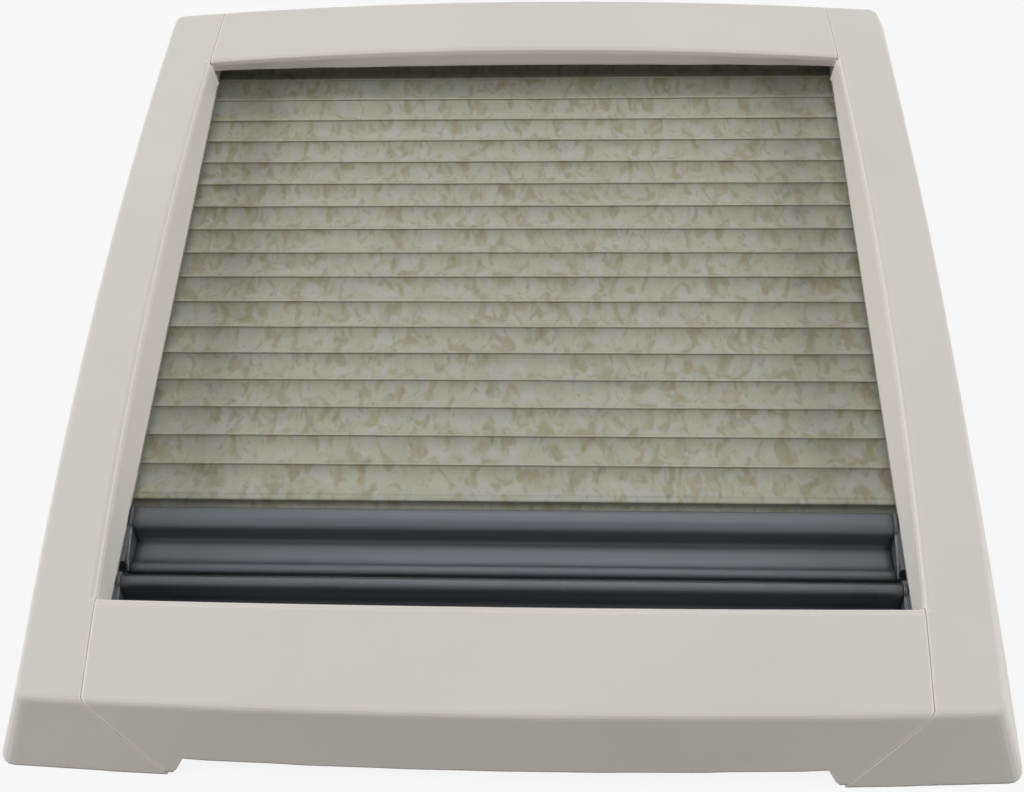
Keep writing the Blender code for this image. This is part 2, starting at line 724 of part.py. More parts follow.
def ridge_plug(ridge, wall_foot):
    """Outline of the plug that fits the hollow under a bar's ridge."""
    low, high = BAR_FLOOR + BAR_BREAK, BAR_TOP - BAR_WALL - SEAT
    clear = BAR_WALL + SEAT
    far_wall = [(wall_y(ridge[0], ridge[1], z, -clear), z) for z in (low, high)]
    flat_end = ridge[3][0]
    return far_wall + [(flat_end, high), (wall_y(wall_foot, ridge[-1], low, clear), low)]


def make_end_cap(name, ridge, trough):
    """End wall of the finger trough, its plug in the ridge and its shoe in the left track."""
    far, near = ridge[0][0], trough[-1][0]
    inside, outside = BAR_HALF + SEAT, CAP_OUTSIDE
    outline = ridge + [(near + BAR_LIP, LIP_TOP + CAP_RISE), (near, LIP_TOP), (near, BAR_FOOT)]
    centre = (-(inside + outside) / 2, 0, 0)
    cap = plate(name, outline, CAP_WALL, "YZ", centre, BAR_PLASTIC)
    plug_start, plug_end = -outside + BAR_BREAK, -inside + PLUG_LENGTH
    plug_centre = ((plug_start + plug_end) / 2, 0, 0)
    combine(cap, plate("plug", ridge_plug(ridge, trough[0]), plug_end - plug_start, "YZ", plug_centre), "UNION")
    middle = (far + near) / 2
    half = SHOE_LENGTH_SHARE * (far - near) / 2
    low = (-CHANNEL_BACK + RUNNING, middle - half, CHANNEL_FLOOR + RUNNING)
    shoe = box("shoe", low, (-outside + BAR_BREAK, middle + half, CHANNEL_ROOF - RUNNING))
    combine(cap, shoe, "UNION")
    slot = CORD_RADIUS + RUNNING
    groove = box("groove", (-OVERSIZE, -OVERSIZE, CORD_Z - slot), (-CORD_X + slot, OVERSIZE, CORD_Z + slot))
    combine(cap, groove, "DIFFERENCE")
    return cap


def make_pull_bars():
    blind, screen = bar_lines()
    pieces = []
    for stem, (ridge, trough) in (("blind", blind), ("screen", screen)):
        pieces.append(make_pull_bar(stem + "_pull_bar", ridge + trough))
        cap = make_end_cap(stem + "_end_cap_left", ridge, trough)
        pieces += [cap, mirrored(cap, stem + "_end_cap_right", "X", BAR_PLASTIC)]
    return pieces


# Pleated sheets


def pleat_line(start, end, rise):
    """Crests and valleys between two heights, each band rising gently to the next crest."""
    pitch = (end - start) / PLEATS
    low = CORD_Z - rise / 2
    line = []
    for index in range(PLEATS):
        crest = start + index * pitch
        valley = crest + PLEAT_DROP_SHARE * pitch
        band = crest + pitch - valley
        line += [(crest, low + rise), (valley, low)]
        line += [(valley + run * band, low + up * rise) for run, up in BAND_SHAPE]
    line.append((end, low + rise))
    return line + [(end - CLOTH_LEAD / 2, low + rise / 2), (end - CLOTH_LEAD, low)]


def stack_line(start, end, rise):
    """Folds of a gathered sheet, pressed together into short flat crests."""
    pitch = (end - start) / PLEATS
    low = CORD_Z - rise / 2
    line = [(start, low)]
    for index in range(PLEATS):
        y = start + index * pitch
        up, over, down = [y + share * pitch for share in FOLD_SHAPE]
        line += [(up, low + rise), (over, low + rise), (down, low), (y + pitch, low)]
    return line


def make_sheet(name, line, thickness, material):
    bm = bmesh.new()
    rows = [[bm.verts.new((x, y, z)) for y, z in line] for x in (-CLOTH_HALF, CLOTH_HALF)]
    for i in range(len(line) - 1):
        bm.faces.new((rows[0][i], rows[1][i], rows[1][i + 1], rows[0][i + 1]))
    sheet = object_from_bmesh(name, bm, material)
    cloth = sheet.modifiers.new("Cloth", "SOLIDIFY")
    cloth.thickness = thickness
    cloth.offset = 0
    return sheet


def make_sheets():
    blind, screen = bar_lines()
    last_crest = blind[0][0][0] + SEAT + CLOTH_THICKNESS + CLOTH_LEAD
    far_end = ANCHOR_Y - SEAT - CLOTH_THICKNESS
    near_start = -far_end
    near_end = screen[1][-1][0] - SEAT - NET_THICKNESS
    blind_sheet = make_sheet("blind_pleats", pleat_line(far_end, last_crest, PLEAT_RISE)[::-1],
                             CLOTH_THICKNESS, BLIND_CLOTH)
    screen_sheet = make_sheet("screen_pleats", stack_line(near_start, near_end, STACK_RISE),
                              NET_THICKNESS, SCREEN_NET)
    return [blind_sheet, screen_sheet]


# Anchor strips


def make_strips():
    """Angle strips under the crossbars that hold the fixed ends of both sheets."""
    strips = []
    low = CHANNEL_FLOOR + RUNNING
    for name, side in (("screen_anchor_strip", -1), ("blind_anchor_strip", 1)):
        web, flange = ANCHOR_Y + STRIP_WALL, ANCHOR_Y + STRIP_FLANGE
        under = STRIP_TOP - STRIP_WALL
        section = [(ANCHOR_Y, low), (web, low), (web, under), (flange, under), (flange, STRIP_TOP),
                   (ANCHOR_Y, STRIP_TOP)]
        strip = plate(name, [(side * y, z) for y, z in section], 2 * STRIP_HALF, "YZ", material=TRACK_METAL)
        for x, y in strip_screws(side):
            combine(strip, upright("hole", x, y, PILOT_RADIUS, 0, OVERSIZE, SMALL_SEGMENTS), "DIFFERENCE")
        strips.append(strip)
    return strips


# Corner brackets


def make_brackets():
    """Steel angles that tie each rail to a crossbar, their short leg along the rail."""
    half = BRACKET_WIDTH / 2
    outer_x, outer_y = BRACKET_X + half, BRACKET_Y + half
    leg_x, leg_y = outer_x - BRACKET_WIDTH, outer_y - BRACKET_LEG
    end_x, inner_y = BRACKET_X - BRACKET_SPAN - half, outer_y - BRACKET_WIDTH
    outline = [(outer_x, outer_y), (outer_x, leg_y), (leg_x, leg_y), (leg_x, inner_y), (end_x, inner_y),
               (end_x, outer_y)]
    centre = (0, 0, BRACKET_Z + BRACKET_THICKNESS / 2)
    far_right = plate("corner_bracket_far_right", outline, BRACKET_THICKNESS, "XY", centre, STEEL)
    for x in (BRACKET_X, BRACKET_X - BRACKET_SPAN):
        hole = upright("hole", x, BRACKET_Y, PILOT_RADIUS, 0, OVERSIZE, SMALL_SEGMENTS)
        combine(far_right, hole, "DIFFERENCE")
    near_right = mirrored(far_right, "corner_bracket_near_right", "Y", STEEL)
    far_left = mirrored(far_right, "corner_bracket_far_left", "X", STEEL)
    near_left = mirrored(near_right, "corner_bracket_near_left", "X", STEEL)
    return [far_right, near_right, far_left, near_left]


# Screws


def screw_solid():
    """A pan head screw driven upwards, turned from its outer profile about its seat."""
    foot = -SEAT - HEAD_HEIGHT
    tip = SHANK_LENGTH
    edge = foot + HEAD_EDGE_SHARE * HEAD_HEIGHT
    profile = [(0, tip), (TIP_SHARE * SHANK_RADIUS, tip), (SHANK_RADIUS, tip - SHANK_RADIUS),
               (SHANK_RADIUS, -SEAT), (HEAD_RADIUS, -SEAT), (HEAD_RADIUS, edge),
               (HEAD_FACE_SHARE * HEAD_RADIUS, foot), (0, foot)]
    bm = bmesh.new()
    verts = [bm.verts.new((radius, 0, z)) for radius, z in profile]
    for first, second in zip(verts, verts[1:]):
        bm.edges.new((first, second))
    obj = object_from_bmesh("screw", bm, STEEL)
    turn = obj.modifiers.new("Turn", "SCREW")
    turn.steps = SMALL_SEGMENTS
    turn.render_steps = SMALL_SEGMENTS
    turn.use_merge_vertices = True
    turn.merge_threshold = 1e-5
    bake(obj)
    return obj


def make_screws():
    bracket = [(side * x, y, BRACKET_Z) for side in (-1, 1) for x, y in rail_bracket_screws()]
    bracket += [(x, y, BRACKET_Z) for side in (-1, 1) for x, y in crossbar_bracket_screws(side)]
    ears = [(side * EAR_SCREW_X, index * RIB_PITCH) for side in (-1, 1) for index in EAR_RIBS]
    track = [(x, y, CHANNEL_ROOF) for x, y in ears]
    strip = [(x, y, STRIP_TOP - STRIP_WALL) for side in (-1, 1) for x, y in strip_screws(side)]
    names = ["bracket_screw_%d" % (i + 1) for i in range(len(bracket))]
    names += ["track_screw_%d" % (i + 1) for i in range(len(track))]
    names += ["strip_screw_%d" % (i + 1) for i in range(len(strip))]
    return place_copies(screw_solid(), names, bracket + track + strip)


# Tension cords


def make_track_plug(name, end):
    """Plug in the back of the left track's end, clear of the sheet's edge, that guides the cord."""
    inside = end - PLUG_DEPTH
    middle = (inside + end + SEAT) / 2
    low = (-CHANNEL_BACK + SEAT, inside, CHANNEL_FLOOR + SEAT)
    edge = -CLOTH_HALF - RUNNING
    plug = box(name, low, (edge, end + SEAT + PLUG_HEAD / 2, CHANNEL_ROOF - SEAT))
    back = -OPEN_HALF - TRACK_DEPTH
    head = box("head", (back, end + SEAT, TRACK_FOOT), (edge, end + SEAT + PLUG_HEAD, TRACK_TOP))
    combine(plug, head, "UNION")
    centre = (-CORD_X, middle, CORD_Z)
    hole = cylinder("hole", centre, CORD_RADIUS + SEAT, OVERSIZE / 4, "Y", SMALL_SEGMENTS)
    combine(plug, hole, "DIFFERENCE")
    plug.data.materials.append(BAR_PLASTIC)
    return plug


def spring_points(start):
    """A compression spring round the cord, its ends run straight along the axis."""
    count = SMALL_SEGMENTS * SPRING_TURNS
    climb = SPRING_LENGTH - 4 * SPRING_WIRE
    points = [(-CORD_X + SPRING_RADIUS, start, CORD_Z)]
    for step in range(count + 1):
        angle = 2 * math.pi * step / SMALL_SEGMENTS
        y = start + 2 * SPRING_WIRE + climb * step / count
        x, z = SPRING_RADIUS * math.cos(angle), SPRING_RADIUS * math.sin(angle)
        points.append((-CORD_X + x, y, CORD_Z + z))
    points.append((-CORD_X + SPRING_RADIUS, start + SPRING_LENGTH, CORD_Z))
    gap = climb / SPRING_TURNS - 2 * SPRING_WIRE
    print("Least gap between the spring's turns: %.2f mm" % (gap * 1000))
    return points


def make_ferrule(name, start):
    centre = (-CORD_X, start + FERRULE_LENGTH / 2, CORD_Z)
    ferrule = cylinder(name, centre, FERRULE_RADIUS, FERRULE_LENGTH, "Y")
    bore = cylinder("bore", centre, CORD_RADIUS + SEAT, 2 * FERRULE_LENGTH, "Y", SMALL_SEGMENTS)
    combine(ferrule, bore, "DIFFERENCE")
    ferrule.data.materials.append(STEEL)
    return ferrule


def make_cords():
    """A cord in each track, held by a ferrule at the near end and a sprung one at the far end."""
    plug_far = make_track_plug("track_plug_far_left", TRACK_HALF)
    plug_near = mirrored(plug_far, "track_plug_near_left", "Y", BAR_PLASTIC)
    outside = TRACK_HALF + SEAT + PLUG_HEAD + SEAT
    spring = tube("cord_spring_left", spring_points(outside), SPRING_WIRE, 1, STEEL)
    far_ferrule = make_ferrule("cord_ferrule_far_left", outside + SPRING_LENGTH + SEAT)
    near_ferrule = make_ferrule("cord_ferrule_near_left", -outside - FERRULE_LENGTH)
    tail = FERRULE_LENGTH + SEAT
    ends = [(-CORD_X, -outside - tail, CORD_Z), (-CORD_X, outside + SPRING_LENGTH + SEAT + tail, CORD_Z)]
    cord = tube("tension_cord_left", ends, CORD_RADIUS, 2, CORD_FIBRE)
    pieces = [plug_far, plug_near, spring, far_ferrule, near_ferrule, cord]
    return pieces + [mirrored(piece, piece.name.replace("left", "right"), "X") for piece in pieces]


# Spring clips


def clip_solid():
    """A steel clip that hugs a tower from the skirt's side, its two legs flared at their tips."""
    half_x = TOWER_X / 2 + SEAT
    half_y = TOWER_Y / 2 + SEAT
    t = CLIP_THICKNESS
    tip_x, tip_y = half_x + 2 * t, half_y + t + CLIP_FLARE
    outer = [(-half_x - t, half_y + t), (-half_x - t, -half_y - t), (half_x, -half_y - t)]
    outer += [(half_x + t, -tip_y), (tip_x, -tip_y)]
    inner = [(half_x + t, -half_y), (-half_x, -half_y), (-half_x, half_y), (half_x + t, half_y)]
    outline = outer + inner + [(tip_x, tip_y), (half_x + t, tip_y), (half_x, half_y + t)]
    return plate("clip", outline, CLIP_HEIGHT, "XY", material=STEEL)


def make_clips():
    left = mirrored(clip_solid(), "left clip", "X")
    names = ["retaining_clip_near_left", "retaining_clip_far_left"]
    height = CLIP_FOOT + CLIP_HEIGHT / 2
    places = [(x, y, height) for x, y in tower_places()]
    clips = place_copies(left, names, places)
    right_names = [name.replace("left", "right") for name in names]
    return clips + place_copies(bpy.data.objects["clip"], right_names, [(-x, y, z) for x, y, z in places])


def main():
    ring = make_ring()
    core = make_core()
    make_rails(ring, core)
    make_crossbars(ring, core)
    for tool in (ring, core):
        bpy.data.objects.remove(tool, do_unlink=True)
    make_tracks()
    make_pull_bars()
    make_sheets()
    make_strips()
    make_brackets()
    make_screws()
    make_cords()
    make_clips()


main()
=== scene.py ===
"""Looks of the skylight window blind: finishes, pleated cloth, insect net, light and camera."""
import json
import math

import bpy
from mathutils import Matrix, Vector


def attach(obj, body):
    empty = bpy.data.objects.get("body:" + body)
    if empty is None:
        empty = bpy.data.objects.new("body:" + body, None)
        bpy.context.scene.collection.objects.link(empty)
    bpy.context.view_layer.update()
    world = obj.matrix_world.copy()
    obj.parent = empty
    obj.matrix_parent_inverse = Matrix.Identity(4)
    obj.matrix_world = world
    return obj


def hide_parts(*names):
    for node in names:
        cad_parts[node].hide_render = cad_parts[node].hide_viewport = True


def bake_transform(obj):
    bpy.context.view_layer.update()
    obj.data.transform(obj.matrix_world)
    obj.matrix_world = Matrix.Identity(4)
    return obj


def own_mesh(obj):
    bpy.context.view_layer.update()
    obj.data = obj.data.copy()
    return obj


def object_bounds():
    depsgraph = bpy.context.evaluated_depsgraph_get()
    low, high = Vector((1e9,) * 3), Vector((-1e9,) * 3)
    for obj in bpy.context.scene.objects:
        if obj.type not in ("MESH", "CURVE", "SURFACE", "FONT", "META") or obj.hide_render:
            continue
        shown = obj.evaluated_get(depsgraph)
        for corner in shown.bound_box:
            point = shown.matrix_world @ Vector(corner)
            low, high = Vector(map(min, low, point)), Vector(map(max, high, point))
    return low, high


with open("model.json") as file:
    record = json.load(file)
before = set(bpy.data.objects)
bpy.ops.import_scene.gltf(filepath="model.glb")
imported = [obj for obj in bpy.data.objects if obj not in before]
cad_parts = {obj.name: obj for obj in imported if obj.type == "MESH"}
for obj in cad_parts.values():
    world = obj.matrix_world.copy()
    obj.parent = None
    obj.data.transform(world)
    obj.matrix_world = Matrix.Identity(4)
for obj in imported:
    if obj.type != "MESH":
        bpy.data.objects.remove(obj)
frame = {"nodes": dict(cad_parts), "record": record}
cad_low, cad_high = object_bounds()

# Camera
LENS = 40.63
SENSOR = 36.0
CAMERA_PLACE = (0.0279, -0.3704, 0.5685)
CAMERA_TURN = (29.81, 2.037, 1.477)
NEAR_CLIP = 0.01
FAR_CLIP = 50.0

# Pleated cloth
CLOTH_HALF = 0.211
CLOTH_FAR = 0.2281
CLOTH_MIDDLE = 0.0081
CLOTH_THICKNESS = 0.0005
CLOTH_COLUMNS = 48
CLOTH_WAVE = 0.00012
FIRST_CREST = -0.1116
PLEAT_PITCH = 0.01779
PLEAT_RISE = 0.0046

# Lines of a pleat, in shares of the pitch from its crest towards the bar and shares of the rise
CREST_SHAPE = ((-0.012, 0.995), (0.0, 1.0), (0.010, 0.98), (0.014, 0.94), (0.008, 0.91))
FOLD_SHAPE = ((-0.03, 0.89), (-0.05, 0.86), (-0.045, 0.83), (-0.02, 0.80), (0.02, 0.75),
              (0.08, 0.60), (0.16, 0.42), (0.26, 0.25), (0.38, 0.14), (0.50, 0.15), (0.62, 0.27),
              (0.74, 0.48), (0.86, 0.74), (0.96, 0.95))
LEAD_SHAPE = ((0.0, 1.0), (0.012, 0.98), (0.03, 0.94), (0.10, 0.96), (0.185, 0.98), (0.20, 0.94),
              (0.198, 0.85), (0.18, 0.40), (0.16, -0.30), (0.26, -0.50), (0.55, -0.58))

# Colours of the cloth, and for each kind of spot its colour, its share of tint and its noise
CLOTH_GROUND = (0.370, 0.372, 0.302)
# Painted highlight: a pale tint along each pleat's crest, where the fold would catch the light
CREST_HIGHLIGHT_COLOUR = (0.46, 0.44, 0.35)
CREST_HIGHLIGHT_SHARE = 0.6
SPOT_STRETCH = 0.6
CLOTH_SPOTS = (
    ((0.400, 0.400, 0.375), 0.75, (105.0, 1.5, 0.5, 0.0, 0.50, 0.62)),
    ((0.26, 0.25, 0.125), 0.70, (105.0, 2.0, 0.7, 3.0, 0.51, 0.68)),
    ((0.29, 0.24, 0.14), 0.60, (110.0, 2.0, 0.8, 7.0, 0.54, 0.72)),
    ((0.20, 0.19, 0.13), 0.40, (150.0, 2.0, 1.0, 11.0, 0.56, 0.72)),
)
CLOTH_ROUGHNESS = 0.8
CLOTH_SHEEN = 0.1
CLOTH_CLOUDS = {"Scale": 60.0, "Detail": 4.0, "Distortion": 0.5}
CLOTH_UNEVEN = 0.07
CLOTH_WEAVE = {"Scale": 1800.0, "Detail": 1.0}
CLOTH_BUMP = (0.25, 0.0001)

# Gathered insect net
NET_FAR = -0.1860
NET_NEAR = -0.2281
NET_FOLDS = 19
NET_RISE = 0.0108
NET_THICKNESS = 0.00025
NET_SHAPE = ((0.0, 0.0), (0.18, 0.35), (0.26, 0.85), (0.33, 1.0), (0.42, 0.85), (0.52, 0.35), (0.70, 0.0))
NET_COLUMNS = 12
NET_COLOUR = (0.03, 0.03, 0.033)
NET_ROUGHNESS = 0.6
NET_PITCH = 0.0014
NET_THREAD = 0.16

# Moulded plastic of the frame
FRAME_COLOUR = (0.66, 0.63, 0.59)
FRAME_ROUGHNESS = 0.62
FRAME_CLOUDS = {"Scale": 14.0, "Detail": 3.0}
FRAME_UNEVEN = 0.015
FRAME_GRAIN = {"Scale": 1500.0, "Detail": 2.0}
FRAME_BUMP = (0.12, 0.00005)
FRAME_EDGE = 0.0018
# Painted highlight: a pale colour along the frame's sharp edges, where they would catch the light
FRAME_EDGE_HIGHLIGHT = (0.92, 0.85, 0.80)
FRAME_EDGE_HIGHLIGHT_SHARE = 0.8
EDGE_SAMPLES = 8

# Plastic of the bars and their end caps
BAR_COLOUR = (0.050, 0.055, 0.062)
BAR_ROUGHNESS = 0.30
BAR_GLOSS = 1.0
BAR_TINT = (0.93, 0.97, 1.0, 1.0)
BAR_EDGE = 0.0055
CAP_EDGE = 0.0006

# Drawn metal of the tracks, steel and cord
TRACK_COLOUR = (0.62, 0.63, 0.64)
TRACK_ROUGHNESS = 0.35
TRACK_METALLIC = 0.9
STEEL_COLOUR = (0.55, 0.55, 0.56)
STEEL_ROUGHNESS = 0.3
DRAWN_STRETCH = (6.0, 900.0, 900.0)
DRAWN_LINES = {"Scale": 1.0, "Detail": 3.0}
DRAWN_UNEVEN = 0.05
DRAWN_BUMP = (0.06, 0.00005)
CORD_COLOUR = (0.80, 0.78, 0.74)
CORD_ROUGHNESS = 0.8
CORD_BRAID = {"Scale": 2500.0, "Detail": 1.0}
CORD_BUMP = (0.6, 0.0001)

# Floor, which glows for the camera outside the part's own foot
FLOOR_COLOUR = (0.50, 0.50, 0.50)
FLOOR_ROUGHNESS = 0.9
FLOOR_REACH = 6.0
FLOOR_GAP = 0.0002
FLOOR_GLOW = 0.88
FLOOR_SHADE = 0.012

# Light: each lamp's angle from overhead, its compass angle, its sides and its power
AMBIENT = 0.18
LAMP_REACH = 4.8
LAMPS = {
    "Left": (65.0, 180.0, (2.0, 2.0), 154.0),
    "Right": (65.0, 0.0, (2.0, 2.0), 129.0),
    "Far": (38.0, 90.0, (2.6, 1.8), 60.0),
}


def link(tree, source, output, target, socket):
    tree.links.new(source.outputs[output], target.inputs[socket])


def add(tree, kind, **values):
    """A node of the kind with its sockets set by name, underscores standing for spaces."""
    node = tree.nodes.new(kind)
    for name, value in values.items():
        node.inputs[name.replace("_", " ")].default_value = value
    return node


def operate(tree, kind, operation, second=None):
    """A node for the operation, with its second input set where one is given."""
    node = tree.nodes.new(kind)
    node.operation = operation
    if second is not None:
        node.inputs[1].default_value = second
    return node


def new_material(name, colour, roughness, metallic=0.0):
    material = bpy.data.materials.new(name)
    material.use_nodes = True
    shader = material.node_tree.nodes["Principled BSDF"]
    shader.inputs["Base Color"].default_value = (*colour, 1.0)
    shader.inputs["Roughness"].default_value = roughness
    shader.inputs["Metallic"].default_value = metallic
    return material, material.node_tree, shader


def flat_place(tree):
    """The coordinates on a sheet laid flat, and the share of painted highlight on its crests."""
    place = tree.nodes.new("ShaderNodeAttribute")
    place.attribute_name = "flat"
    return place


def noise(tree, place, output, **values):
    """A noise over the coordinates at the place's output."""
    texture = add(tree, "ShaderNodeTexNoise", **values)
    link(tree, place, output, texture, "Vector")
    return texture


def uneven(tree, colour, spread, source):
    """The colour, darker or lighter by up to the spread as the source says."""
    node = tree.nodes.new("ShaderNodeValToRGB")
    ends = ((0.3, 1 - spread), (0.7, 1 + spread))
    for element, (place, factor) in zip(node.color_ramp.elements, ends):
        element.position = place
        element.color = (*(channel * factor for channel in colour), 1.0)
    link(tree, source, "Fac", node, "Fac")
    return node


def tinted(tree, under, mask, colour, share):
    """The colour under, tinted with another by a share of the mask."""
    amount = operate(tree, "ShaderNodeMath", "MULTIPLY", share)
    link(tree, mask, "Result", amount, 0)
    mix = add(tree, "ShaderNodeMixRGB", Color2=(*colour, 1.0))
    link(tree, amount, "Value", mix, "Fac")
    link(tree, under, "Color", mix, "Color1")
    return mix


def add_bump(tree, shader, source, strength, distance):
    bump = add(tree, "ShaderNodeBump", Strength=strength, Distance=distance)
    link(tree, source, "Fac", bump, "Height")
    link(tree, bump, "Normal", shader, "Normal")
    return bump


def soften_edges(tree, bump, radius):
    """Let the edges catch the light as if they were rounded to the radius."""
    edges = add(tree, "ShaderNodeBevel", Radius=radius)
    edges.samples = EDGE_SAMPLES
    link(tree, edges, "Normal", bump, "Normal")
    return edges


def edge_highlight_mask(tree, edges):
    """One at a sharp edge and zero on a plain face: the mask of the painted edge highlight."""
    face = tree.nodes.new("ShaderNodeNewGeometry")
    along = operate(tree, "ShaderNodeVectorMath", "DOT_PRODUCT")
    mask = add(tree, "ShaderNodeMapRange", From_Min=0.998, From_Max=0.96)
    link(tree, edges, "Normal", along, 0)
    link(tree, face, "Normal", along, 1)
    link(tree, along, "Value", mask, "Value")
    return mask


def frame_finish():
    """Satin moulded plastic: a fine eroded grain, a faint unevenness of tone and pale edges that are a
    painted highlight.
    """
    material, tree, shader = new_material("Frame plastic", FRAME_COLOUR, FRAME_ROUGHNESS)
    place = tree.nodes.new("ShaderNodeTexCoord")
    tone = uneven(tree, FRAME_COLOUR, FRAME_UNEVEN, noise(tree, place, "Object", **FRAME_CLOUDS))
    bump = add_bump(tree, shader, noise(tree, place, "Object", **FRAME_GRAIN), *FRAME_BUMP)
    edges = edge_highlight_mask(tree, soften_edges(tree, bump, FRAME_EDGE))
    # Painted highlight: the sharp edges are tinted pale
    tone = tinted(tree, tone, edges, FRAME_EDGE_HIGHLIGHT, FRAME_EDGE_HIGHLIGHT_SHARE)
    link(tree, tone, "Color", shader, "Base Color")
    return material


def drawn_profile(name, colour, roughness, metallic):
    """A profile's material, its shader and its bump: faint lines run along X."""
    material, tree, shader = new_material(name, colour, roughness, metallic)
    place = tree.nodes.new("ShaderNodeTexCoord")
    stretch = add(tree, "ShaderNodeMapping", Scale=DRAWN_STRETCH)
    link(tree, place, "Object", stretch, "Vector")
    lines = noise(tree, stretch, "Vector", **DRAWN_LINES)
    link(tree, uneven(tree, colour, DRAWN_UNEVEN, lines), "Color", shader, "Base Color")
    return material, shader, add_bump(tree, shader, lines, *DRAWN_BUMP)


def metal_finish(name, colour, roughness, metallic):
    material, _, _ = drawn_profile(name, colour, roughness, metallic)
    return material


def bar_finish(name, edge):
    """Satin bar plastic: a drawn profile with a cool gloss and softened edges."""
    material, shader, bump = drawn_profile(name, BAR_COLOUR, BAR_ROUGHNESS, 0.0)
    shader.inputs["Specular IOR Level"].default_value = BAR_GLOSS
    shader.inputs["Specular Tint"].default_value = BAR_TINT
    soften_edges(material.node_tree, bump, edge)
    return material


def cord_finish():
    material, tree, shader = new_material("Braided cord", CORD_COLOUR, CORD_ROUGHNESS)
    place = tree.nodes.new("ShaderNodeTexCoord")
    add_bump(tree, shader, noise(tree, place, "Object", **CORD_BRAID), *CORD_BUMP)
    return material


def spots(tree, place, scale, detail, distortion, shift, low, high):
    """Soft-edged spots that are longer along the travel: a mask from a stretched noise."""
    stretch = add(tree, "ShaderNodeMapping", Scale=(1.0, SPOT_STRETCH, 0.0), Location=(shift, 0.0, 0.0))
    link(tree, place, "Vector", stretch, "Vector")
    mottle = noise(tree, stretch, "Vector", Scale=scale, Detail=detail, Distortion=distortion)
    mask = add(tree, "ShaderNodeMapRange", From_Min=low, From_Max=high)
    mask.interpolation_type = "SMOOTHSTEP"
    link(tree, mottle, "Fac", mask, "Value")
    return mask


def marbled_cloth():
    """Pleated cloth: a grey-green ground with pale, olive and tan spots, and pale creases that are a
    painted highlight.
    """
    material, tree, shader = new_material("Marbled cloth", CLOTH_GROUND, CLOTH_ROUGHNESS)
    place = flat_place(tree)
    shade = uneven(tree, CLOTH_GROUND, CLOTH_UNEVEN, noise(tree, place, "Vector", **CLOTH_CLOUDS))
    for colour, share, shape in CLOTH_SPOTS:
        shade = tinted(tree, shade, spots(tree, place, *shape), colour, share)
    split = tree.nodes.new("ShaderNodeSeparateXYZ")
    link(tree, place, "Vector", split, "Vector")
    # Painted highlight: the crests are tinted pale
    crest_highlight = add(tree, "ShaderNodeMapRange", From_Min=0.4, From_Max=1.0)
    link(tree, split, "Z", crest_highlight, "Value")
    shade = tinted(tree, shade, crest_highlight, CREST_HIGHLIGHT_COLOUR, CREST_HIGHLIGHT_SHARE)
    link(tree, shade, "Color", shader, "Base Color")
    shader.inputs["Sheen Weight"].default_value = CLOTH_SHEEN
    add_bump(tree, shader, noise(tree, place, "Vector", **CLOTH_WEAVE), *CLOTH_BUMP)
    return material


def net_material():
    """Insect net: dark threads in both directions with clear holes between them."""
    material, tree, shader = new_material("Insect net", NET_COLOUR, NET_ROUGHNESS)
    split = tree.nodes.new("ShaderNodeSeparateXYZ")
    link(tree, flat_place(tree), "Vector", split, "Vector")
    either = operate(tree, "ShaderNodeMath", "MAXIMUM")
    for socket, axis in enumerate(("X", "Y")):
        cycles = operate(tree, "ShaderNodeMath", "PINGPONG", NET_PITCH / 2)
        thread = operate(tree, "ShaderNodeMath", "LESS_THAN", NET_PITCH * NET_THREAD)
        link(tree, split, axis, cycles, 0)
        link(tree, cycles, "Value", thread, 0)
        link(tree, thread, "Value", either, socket)
    link(tree, either, "Value", shader, "Alpha")
    return material


def place_object(name, data):
    """A new object of the scene with the data."""
    placed = bpy.data.objects.new(name, data)
    bpy.context.scene.collection.objects.link(placed)
    return placed


def runs_along(line):
    """How far along the line each of its points lies."""
    runs = [0.0]
    for (y0, z0, _), (y1, z1, _) in zip(line, line[1:]):
        runs.append(runs[-1] + math.hypot(y1 - y0, z1 - z0))
    return runs


def ripple(x, y):
    """A slow unevenness over a sheet, from minus one to one."""
    return math.sin(31 * x + 190 * y) * math.sin(57 * x - 83 * y)


def grid_faces(rows, columns):
    """The faces of a grid whose points run row by row."""
    width = columns + 1
    return [(i * width + j, i * width + j + 1, (i + 1) * width + j + 1, (i + 1) * width + j)
            for i in range(rows) for j in range(columns)]


def swept_sheet(name, line, columns, wave, thickness):
    """A sheet along a line of Y, Z and share of painted crest highlight that keeps its flat coordinates,
    and its length.
    """
    runs = runs_along(line)
    points, flat = [], []
    for (y, z, crest_highlight), run in zip(line, runs):
        for column in range(columns + 1):
            x = CLOTH_HALF * (2 * column / columns - 1)
            points.append((x, y, z + wave * ripple(x, y)))
            flat.append((x, run, crest_highlight))
    mesh = bpy.data.meshes.new(name)
    mesh.from_pydata(points, [], grid_faces(len(line) - 1, columns))
    attribute = mesh.attributes.new("flat", "FLOAT_VECTOR", "POINT")
    attribute.data.foreach_set("vector", [value for place in flat for value in place])
    mesh.shade_smooth()
    sheet = place_object(name, mesh)
    skin = sheet.modifiers.new("Thickness", "SOLIDIFY")
    skin.thickness = thickness
    skin.offset = 0
    return sheet, runs[-1]


def cloth_line():
    """The pleats from the far end to the bar, each crest hanging over the fold behind it."""
    low = CLOTH_MIDDLE - PLEAT_RISE / 2

    def place(crest, shape, crest_highlight):
        return [(crest - share * PLEAT_PITCH, low + up * PLEAT_RISE, crest_highlight) for share, up in shape]

    line = []
    for index in range(math.ceil((CLOTH_FAR - FIRST_CREST) / PLEAT_PITCH), 0, -1):
        crest = FIRST_CREST + index * PLEAT_PITCH
        # The crest's points carry the full painted highlight, the fold's points none
        line += place(crest, CREST_SHAPE, 1.0) + place(crest, FOLD_SHAPE, 0.0)
    line += place(FIRST_CREST, LEAD_SHAPE, 0.0)
    return [point for point in line if point[0] <= CLOTH_FAR]


